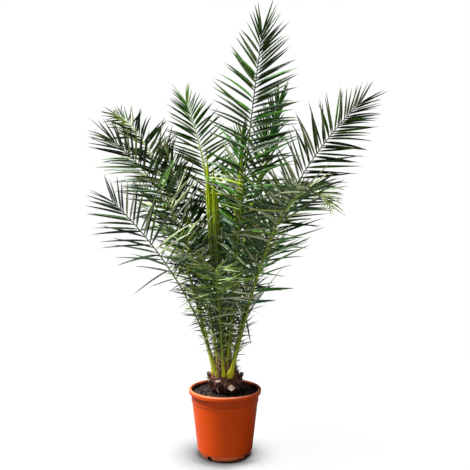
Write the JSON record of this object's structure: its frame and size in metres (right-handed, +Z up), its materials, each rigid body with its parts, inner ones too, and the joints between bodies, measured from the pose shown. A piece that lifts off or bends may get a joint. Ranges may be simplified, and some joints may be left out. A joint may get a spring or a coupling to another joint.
{
  "type": "potted palm",
  "caption": "Young feather-leaved palm with a short fibrous stem and arching fronds, in a round tapering nursery pot that stands on its flat underside.",
  "frame": {"origin": "middle of the pot's flat underside", "axes": "+Z up along the pot's axis; the picture looks along +Y with +X to its right"},
  "size_m": [1.1239, 1.6393, 1.555],
  "materials": {
    "pot": "satin",
    "soil": "rough",
    "stem": "rough",
    "leaf": "satin",
    "young_leaf": "satin"
  },
  "bodies": {
    "root": {"frond_back_arch_lower": "leaf", "frond_back_arch_upper": "leaf", "frond_back_left": "young_leaf", "frond_back_low_lower": "leaf", "frond_back_low_upper": "leaf", "frond_back_right": "leaf", "frond_centre": "young_leaf", "frond_front_low_lower": "leaf", "frond_front_low_upper": "leaf", "frond_front_tall": "leaf", "frond_left_back": "leaf", "frond_left_front": "leaf", "frond_left_low": "leaf", "frond_left_short": "leaf", "frond_mid_left": "leaf", "frond_right": "leaf", "frond_right_arch_lower": "leaf", "frond_right_arch_upper": "leaf", "frond_right_young": "leaf", "frond_spear": "young_leaf", "pot": "pot", "soil": "soil", "stem": "stem"}
  },
  "joints": []
}
